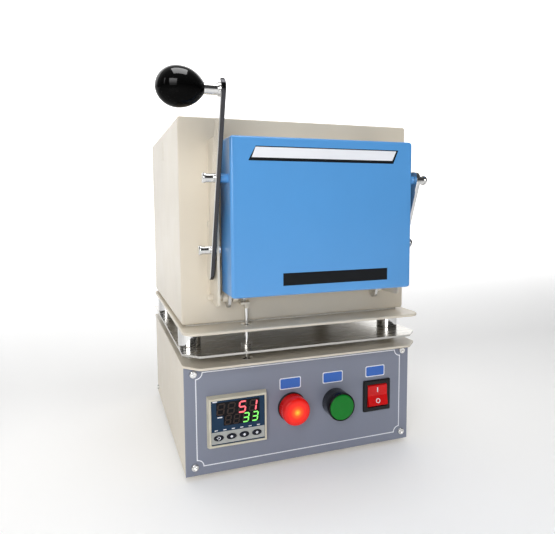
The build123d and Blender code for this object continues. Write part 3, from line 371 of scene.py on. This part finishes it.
def ribbon(work, path, width, back, front, closed=True):
    """A raised line of this width along an (x, z) path."""
    count = len(path)
    left, right = [], []
    for index, (x, z) in enumerate(path):
        before = Vector(path[index - 1] if closed or index else path[index])
        after = Vector(path[(index + 1) % count] if closed or index + 1 < count else path[index])
        here = Vector((x, z))
        into = (here - before).normalized() if (here - before).length else (after - here).normalized()
        out = (after - here).normalized() if (after - here).length else into
        side = Vector((-(into + out).y, (into + out).x)).normalized()
        stretch = width / 2 / max(0.4, side.dot(Vector((-into.y, into.x))))
        left.append(here + side * stretch)
        right.append(here - side * stretch)
    rows = []
    for side_points in (left, right):
        rows.append([work.verts.new((p.x, back, p.y)) for p in side_points])
        rows.append([work.verts.new((p.x, front, p.y)) for p in side_points])
    left_back, left_front, right_back, right_front = rows
    for index in range(count if closed else count - 1):
        after = (index + 1) % count
        for one, other in (
            (left_front, right_front),
            (right_back, left_back),
            (left_back, left_front),
            (right_front, right_back),
        ):
            work.faces.new((one[index], one[after], other[after], other[index]))
    if not closed:
        for index in (0, -1):
            work.faces.new([row[index] for row in (left_back, left_front, right_front, right_back)])


def turned(work, centre, profile, closed=False, steps=72):
    """A round form in front of the panel; the profile holds (radius, distance from the panel) in mm."""
    rings = []
    for radius, proud in profile:
        place = Vector((centre[0], panel_front - proud * MM, centre[1]))
        if radius:
            turns = [2 * pi * step / steps for step in range(steps)]
            rings.append([work.verts.new(place + radius * MM * Vector((cos(turn), 0, sin(turn)))) for turn in turns])
        else:
            rings.append([work.verts.new(place)] * steps)
    pairs = list(zip(rings, rings[1:])) + ([(rings[-1], rings[0])] if closed else [])
    for one, other in pairs:
        for index in range(steps):
            after = (index + 1) % steps
            corners = []
            for corner in (one[index], one[after], other[after], other[index]):
                if corner not in corners:
                    corners.append(corner)
            work.faces.new(corners)


# Pilot lamp and push button
panel_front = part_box("front_panel")[0].y
lens_low, lens_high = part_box("lamp_lens")
lamp_centre = ((lens_low.x + lens_high.x) / 2, (lens_low.z + lens_high.z) / 2)
lens_radius = (lens_high.x - lens_low.x) / 2
cap_low, cap_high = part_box("button_cap")
button_centre = ((cap_low.x + cap_high.x) / 2, (cap_low.z + cap_high.z) / 2)
# (radius, distance from the panel) in mm: a drum with a nearly flat face, and a ring around the cap
LENS_PROFILE = [
    (0, 2.5), (13.9, 2.5), (13.9, 12.6), (13.75, 13.8), (13.3, 14.7),
    (12.5, 15.3), (11.2, 15.6), (7.0, 15.85), (0, 15.98),
]
GUARD_PROFILE = [
    (14.2, 0), (14.2, 15.5), (14.0, 16.1), (13.6, 16.4), (13.2, 16.4),
    (13.0, 16.1), (12.95, 15.6), (12.95, 3.0), (6.3, 3.0), (6.3, 0),
]
lens = make_piece(
    "lamp_lens_drum",
    lambda work: turned(work, lamp_centre, LENS_PROFILE),
    lamp_glass("lamp_lens_glass", lamp_centre, lens_radius),
    "root",
)
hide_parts("lamp_lens")
guard = make_piece(
    "button_guard", lambda work: turned(work, button_centre, GUARD_PROFILE, closed=True), black_gloss, "root"
)
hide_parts("button_collar")

# Marks of the rocker switch on the two halves of its face: a bar for on and a ring for off, in mm.
# The face lies FACE_MIDDLE in front of the axle and falls back by FACE_SLOPE towards both ends.
ROCKER_AXLE = Vector((81.2, -116.0, 53.1))
ROCKER_LEAN = radians(-7)
FACE_MIDDLE = 5.2
FACE_SLOPE = 1.0 / 10.27
MARK_SUNK = 0.05
MARK_PROUD = 0.08
BAR_HALF_WIDTH = 0.55
BAR_LOW, BAR_HIGH = 3.4, 8.4
RING_PLACE = -5.6
RING_INNER, RING_OUTER = 1.75, 2.5
RING_BLOCKS = 28


def on_rocker(x, along, lift):
    """The point, in metres, at x, this far along the rocker's face from its middle and this proud of it, in mm."""
    y = -FACE_MIDDLE - FACE_SLOPE * abs(along) - lift
    turned_y = y * cos(ROCKER_LEAN) - along * sin(ROCKER_LEAN)
    turned_z = y * sin(ROCKER_LEAN) + along * cos(ROCKER_LEAN)
    return (ROCKER_AXLE + Vector((x, turned_y, turned_z))) * MM


def rocker_mark(work, outline):
    """A thin raised mark on the rocker."""
    prism(
        work,
        [on_rocker(x, along, -MARK_SUNK) for x, along in outline],
        [on_rocker(x, along, MARK_PROUD) for x, along in outline],
    )


def off_ring(work):
    """The ring, in short blocks."""
    for step in range(RING_BLOCKS):
        a, b = 2 * pi * step / RING_BLOCKS, 2 * pi * (step + 1) / RING_BLOCKS
        points = [(RING_OUTER, a), (RING_OUTER, b), (RING_INNER, b), (RING_INNER, a)]
        rocker_mark(work, [(radius * cos(turn), RING_PLACE + radius * sin(turn)) for radius, turn in points])


def on_bar(work):
    """The bar, upright on the upper half."""
    rocker_mark(
        work,
        [
            (-BAR_HALF_WIDTH, BAR_LOW),
            (BAR_HALF_WIDTH, BAR_LOW),
            (BAR_HALF_WIDTH, BAR_HIGH),
            (-BAR_HALF_WIDTH, BAR_HIGH),
        ],
    )


make_piece("rocker_on_bar", on_bar, white_ink, "rocker", False)
make_piece("rocker_off_ring", off_ring, white_ink, "rocker", False)

# Camera at the photograph's viewpoint, with the shift of a picture that was cropped off its middle
SENSOR_WIDTH = 36.0
CAMERA_PLACE = Vector((-0.1859, -0.5562, 0.2500))
CAMERA_TURN = radians(18.91)
CAMERA_DROP = radians(4.92)
CAMERA_ROLL = radians(0.46)
CAMERA_LENS = 31.76
CAMERA_SHIFT = (0.0138, -0.0303)


def make_camera():
    """A camera in front of the furnace's left corner, as high as the door, turned right and slightly down."""
    forward = Vector((sin(CAMERA_TURN) * cos(CAMERA_DROP), cos(CAMERA_TURN) * cos(CAMERA_DROP), -sin(CAMERA_DROP)))
    level = Vector((cos(CAMERA_TURN), -sin(CAMERA_TURN), 0))
    above = level.cross(forward)
    right = level * cos(CAMERA_ROLL) - above * sin(CAMERA_ROLL)
    up = level * sin(CAMERA_ROLL) + above * cos(CAMERA_ROLL)
    data = bpy.data.cameras.new("photo_camera")
    data.sensor_width = SENSOR_WIDTH
    data.lens = CAMERA_LENS
    data.shift_x, data.shift_y = CAMERA_SHIFT
    data.clip_start = 0.02
    data.clip_end = 50.0
    camera = bpy.data.objects.new("photo_camera", data)
    bpy.context.scene.collection.objects.link(camera)
    turn = Matrix((right, up, -forward)).transposed()
    camera.matrix_world = Matrix.Translation(CAMERA_PLACE) @ turn.to_4x4()
    bpy.context.scene.camera = camera


make_camera()

# Front panel graphics: a white frame line with concave corners, and three bare labels
INK = 0.08 * MM
FRAME_X = 109.2 * MM
FRAME_LOW = 8.9 * MM
FRAME_HIGH = 99.0 * MM
NOTCH = 6.2 * MM
LINE_WIDTH = 0.95 * MM
NOTCH_STEPS = 8


def frame_path():
    """The frame line: straight sides joined by quarter rounds that curve in about the corner screws."""
    points = []
    for side_x, side_z, start in ((-1, -1, 90), (1, -1, 180), (1, 1, 270), (-1, 1, 0)):
        corner = (side_x * FRAME_X, FRAME_LOW if side_z < 0 else FRAME_HIGH)
        for step in range(NOTCH_STEPS + 1):
            angle = radians(start - 90 * step / NOTCH_STEPS)
            points.append((corner[0] + NOTCH * cos(angle), corner[1] + NOTCH * sin(angle)))
    return points


make_piece(
    "panel_frame_line",
    lambda work: ribbon(work, frame_path(), LINE_WIDTH, panel_front, panel_front - INK),
    white_ink,
    "root",
    smooth=False,
)

# The middle of each label, in mm
LABELS = {
    "lamp_label": (-15.6, 77.9),
    "button_label": (30.65, 78.45),
    "switch_label": (79.65, 79.1),
}
LABEL_WIDTH = 22.6 * MM
LABEL_HEIGHT = 11.6 * MM
LABEL_CORNER = 1.6 * MM
LABEL_EDGE = 0.9 * MM
for name, (x, z) in LABELS.items():
    centre = (x * MM, z * MM)
    rim = rounded(centre, LABEL_WIDTH, LABEL_HEIGHT, LABEL_CORNER)
    inner_corner = LABEL_CORNER - 0.4 * LABEL_EDGE
    field = rounded(centre, LABEL_WIDTH - 2 * LABEL_EDGE, LABEL_HEIGHT - 2 * LABEL_EDGE, inner_corner)
    rim_front = panel_front - INK
    field_front = panel_front - 2 * INK
    make_piece(f"{name}_rim", lambda work: plate(work, rim, panel_front, rim_front), white_ink, "root", False)
    make_piece(f"{name}_field", lambda work: plate(work, field, rim_front, field_front), label_blue, "root", False)

# Bare strips on the door, where the real door carries its maker's words: corners in mm, and layers of ink
door_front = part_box("door_shell")[0].y
STRIPS = {
    "upper_strip": ([(-71.0, 289.0), (66.0, 289.0), (71.0, 301.0), (-64.5, 301.0)], strip_black, 1),
    "upper_strip_inlay": ([(-68.0, 291.6), (64.8, 291.6), (68.8, 300.2), (-64.6, 300.2)], white_ink, 2),
    "lower_strip": ([(-41.0, 183.6), (61.0, 183.6), (61.0, 194.4), (-41.0, 194.4)], strip_black, 1),
}
for name, (corners, material, layers) in STRIPS.items():
    outline = [(x * MM, z * MM) for x, z in corners]
    front = door_front - layers * INK
    make_piece(name, lambda work: plate(work, outline, door_front, front), material, "door", False)

# Controller display
face_low, face_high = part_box("controller_face")
face_front = face_low.y
SLANT = tan(radians(9))
WINDOW_LEFT = face_low.x
WINDOW_RIGHT = face_high.x


def slab(name, left, right, low, high, back, front, material, corner=0.4 * MM):
    """A thin rectangular field on the display."""
    outline = rounded(((left + right) / 2, (low + high) / 2), right - left, high - low, corner, 3)
    return make_piece(name, lambda work: plate(work, outline, back, front), material, "root", False)


# Dark fields behind the digits: left, right, low and high, in mm
DIGIT_FIELDS = {
    "upper_digit_field": (-91.4, -49.2, 57.1, 70.0),
    "lower_digit_field": (-84.6, -49.3, 47.3, 57.3),
}
for name, edges in DIGIT_FIELDS.items():
    left, right, low, high = (edge * MM for edge in edges)
    slab(name, left, right, low, high, face_front, face_front - INK, digit_field)

SEGMENTS = {
    "a": ((0.0, 1.0), (1.0, 1.0)),
    "b": ((1.0, 1.0), (1.0, 0.5)),
    "c": ((1.0, 0.5), (1.0, 0.0)),
    "d": ((0.0, 0.0), (1.0, 0.0)),
    "e": ((0.0, 0.5), (0.0, 0.0)),
    "f": ((0.0, 1.0), (0.0, 0.5)),
    "g": ((0.0, 0.5), (1.0, 0.5)),
}
DIGITS = {"5": "afgcd", "1": "bc", "3": "abgcd"}
# A bar's end falls short of its corner, and its pointed tip reaches part of the way back, in stroke widths
BAR_GAP = 0.62
BAR_TIP = 0.5


def segment_bars(work, left, low, width, height, names, stroke, back, front):
    """The bars of one seven-segment digit, leaning to the right."""
    for name in names:
        (ax, az), (bx, bz) = SEGMENTS[name]
        start = Vector((ax * width, az * height))
        end = Vector((bx * width, bz * height))
        along = (end - start).normalized()
        across = Vector((-along.y, along.x)) * stroke / 2
        start = start + along * stroke * BAR_GAP
        end = end - along * stroke * BAR_GAP
        tip = along * stroke * BAR_TIP
        outline = [start - tip, start + across, end + across, end + tip, end - across, start - across]
        places = [(left + p.x + SLANT * p.y, low + p.y) for p in outline]
        plate(work, places[::-1], back, front)


def digit_row(name, digits, lefts, low, width, height, stroke, lit):
    """A row of digits, in mm; a bar that is off shows dimly."""
    back = face_front - INK
    for index, (digit, left) in enumerate(zip(digits, lefts)):
        on = DIGITS.get(digit, "")
        off = [bar for bar in "abcdefg" if bar not in on]
        for part, bars, material, lift in (("off", off, digit_unlit, 1), ("on", on, lit, 1.5)):
            if bars:
                make_piece(
                    f"{name}_{index}_{part}",
                    lambda work: segment_bars(
                        work, left * MM, low * MM, width * MM, height * MM, bars, stroke * MM, back, back - lift * INK
                    ),
                    material,
                    "root",
                    False,
                )


digit_row(
    "upper_digit", "  51", (-91.0, -80.9, -70.1, -59.6), low=58.3, width=6.2, height=10.0, stroke=1.45, lit=digit_red
)
digit_row(
    "lower_digit", "  33", (-83.4, -75.1, -66.0, -57.0), low=48.3, width=5.1, height=8.3, stroke=1.2, lit=digit_green
)

# Lower strip of the display, with a pale ground behind the keys, and small pale marks
STRIP_INSET = 0.2 * MM
STRIP_LOW = 30.4 * MM
STRIP_HIGH = 41.9 * MM
slab(
    "key_strip",
    WINDOW_LEFT + STRIP_INSET,
    WINDOW_RIGHT - STRIP_INSET,
    STRIP_LOW,
    STRIP_HIGH,
    face_front,
    face_front - 0.5 * INK,
    strip_grey,
)
# The middle, width and height of each mark, in mm
MARKS = {
    "value_mark": (-92.8, 71.1, 4.2, 1.0),
    "setting_mark": (-88.1, 55.7, 4.6, 1.0),
}
STATE_MARKS = 6
STATE_MARK_LEFT = -91.8
STATE_MARK_STEP = 8.25
for index in range(STATE_MARKS):
    MARKS[f"state_mark_{index}"] = (STATE_MARK_LEFT + STATE_MARK_STEP * index, 43.4, 3.0, 0.8)
for name, (x, z, width, height) in MARKS.items():
    slab(
        name,
        (x - width / 2) * MM,
        (x + width / 2) * MM,
        (z - height / 2) * MM,
        (z + height / 2) * MM,
        face_front,
        face_front - INK,
        white_ink,
        0.2 * MM,
    )


# Symbols on the keys, in mm from the key's middle: a ring arrow, a left arrow, a down arrow and an up arrow
ARROW_HEAD = [(0, 1.5), (-1.7, 0), (1.7, 0)]
ARROW_TAIL = [(-0.8, 0), (-0.8, -1.1), (0.8, -1.1), (0.8, 0)]
LOOP_INNER, LOOP_OUTER = 1.05, 1.7
LOOP_BLOCKS = 9
LOOP_START = -120
LOOP_STEP = 28
LOOP_HEAD = [(-2.3, 0.7), (-0.4, 0.7), (-1.3, -0.6)]
SYMBOL_SUNK = 0.02 * MM


def key_symbol(key, shape):
    """A raised white symbol on the key's own face."""
    low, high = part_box(key)
    centre = Vector(((low.x + high.x) / 2, (low.z + high.z) / 2))
    back = low.y + SYMBOL_SUNK

    def build(work):
        for outline in shape:
            plate(work, [(centre.x + x * MM, centre.y + z * MM) for x, z in outline], back, back - INK)

    make_piece(f"{key}_symbol", build, white_ink, key, False)


def arrow(turn):
    """A solid arrowhead turned by this many degrees, with a short tail."""
    rotate = radians(turn)
    return [
        [(x * cos(rotate) - z * sin(rotate), x * sin(rotate) + z * cos(rotate)) for x, z in outline]
        for outline in (ARROW_HEAD, ARROW_TAIL)
    ]


def ring_arrow():
    """An open ring in short blocks, with an arrowhead."""
    outlines = []
    for step in range(LOOP_BLOCKS):
        a, b = radians(LOOP_START + LOOP_STEP * step), radians(LOOP_START + LOOP_STEP * (step + 1))
        corners = [(LOOP_INNER, a), (LOOP_OUTER, a), (LOOP_OUTER, b), (LOOP_INNER, b)]
        outlines.append([(radius * cos(angle), radius * sin(angle)) for radius, angle in corners])
    outlines.append(LOOP_HEAD)
    return outlines


key_symbol("mode_key", ring_arrow())
key_symbol("shift_key", arrow(90))
key_symbol("down_key", arrow(180))
key_symbol("up_key", arrow(0))

# Room: a pale floor that curves up behind, and soft lights
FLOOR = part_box("rubber_feet")[0].z
FLOOR_GLOW, WALL_GLOW = 0.1, 1.1
GLOW_START, GLOW_STOP = 0.2, 1.6
FLOOR_FRONT = -6.0
FLOOR_SIDE = 7.0
SWEEP_PLACE = 3.0
SWEEP_RADIUS = 1.5
SWEEP_STEPS = 10
WALL_TOP = 6.0


def backdrop():
    """White paper: plain near the furnace, and lit up as it goes back, like a studio wall."""
    material = paint("floor_white", (0.93, 0.93, 0.93), 0.8, 200, 0.00001, 0.0, 0.0)
    tree = material.node_tree
    shader = next(node for node in tree.nodes if node.type == "BSDF_PRINCIPLED")
    glow = ranged(tree, position(tree, "Y"), FLOOR_GLOW, WALL_GLOW, GLOW_START, GLOW_STOP)
    tree.links.new(glow, shader.inputs["Emission Strength"])
    set_sockets(shader, Emission_Color=(1, 1, 1, 1), Specular_IOR_Level=0.1)
    return material


def make_floor():
    """A large pale sheet on the bench, turned up far behind the furnace."""
    mesh = bpy.data.meshes.new("floor")
    work = bmesh.new()
    profile = [(FLOOR_FRONT, FLOOR)]
    for step in range(SWEEP_STEPS + 1):
        angle = radians(90 * step / SWEEP_STEPS)
        profile.append((SWEEP_PLACE + SWEEP_RADIUS * sin(angle), FLOOR + SWEEP_RADIUS * (1 - cos(angle))))
    profile.append((SWEEP_PLACE + SWEEP_RADIUS, WALL_TOP))
    rows = [[work.verts.new((x, y, z)) for x in (-FLOOR_SIDE, FLOOR_SIDE)] for y, z in profile]
    for one, other in zip(rows, rows[1:]):
        work.faces.new((one[0], one[1], other[1], other[0]))
    bmesh.ops.recalc_face_normals(work, faces=work.faces)
    work.to_mesh(mesh)
    work.free()
    for face in mesh.polygons:
        face.use_smooth = True
    floor = bpy.data.objects.new("floor", mesh)
    bpy.context.scene.collection.objects.link(floor)
    mesh.materials.append(backdrop())


make_floor()


def area_light(name, place, target, width, height, power):
    """A soft panel light aimed at a point."""
    data = bpy.data.lights.new(name, "AREA")
    data.shape = "RECTANGLE"
    data.size = width
    data.size_y = height
    data.energy = power
    light = bpy.data.objects.new(name, data)
    light.location = place
    light.rotation_euler = (Vector(target) - Vector(place)).to_track_quat("-Z", "Y").to_euler()
    bpy.context.scene.collection.objects.link(light)


# Each light's place, target, width and height, in metres, and its power in watts
LIGHTS = {
    "key_light": ((-0.5, -0.95, 0.52), (0, 0, 0.2), 0.55, 0.55, 5.6),
    "side_light": ((-1.3, -0.6, 0.7), (0, 0, 0.25), 0.12, 0.7, 0.6),
    "top_light": ((0.0, -0.35, 1.5), (0, 0, 0.1), 0.9, 0.9, 9.5),
}
for name, (place, target, width, height, power) in LIGHTS.items():
    area_light(name, place, target, width, height, power)


def make_world():
    """A dim room in front of the furnace and a bright one behind it, so that polished metal shows contrast."""
    world = bpy.data.worlds.new("studio")
    bpy.context.scene.world = world
    world.use_nodes = True
    tree = world.node_tree
    tree.nodes.clear()
    output = tree.nodes.new("ShaderNodeOutputWorld")
    background = tree.nodes.new("ShaderNodeBackground")
    place = tree.nodes.new("ShaderNodeTexCoord")
    split = tree.nodes.new("ShaderNodeSeparateXYZ")
    tree.links.new(place.outputs["Generated"], split.inputs["Vector"])
    sky = ramp(tree, ranged(tree, split.outputs["Y"], 0, 1, -1, 1), WORLD_STEPS)
    tree.links.new(sky, background.inputs["Color"])
    background.inputs["Strength"].default_value = 1.0
    tree.links.new(background.outputs["Background"], output.inputs["Surface"])


WORLD_STEPS = [
    (0.0, (0.06, 0.06, 0.06)),
    (0.5, (0.08, 0.08, 0.08)),
    (0.75, (0.3, 0.3, 0.3)),
    (1.0, (0.9, 0.9, 0.9)),
]
make_world()
bpy.context.scene.view_settings.view_transform = "Standard"
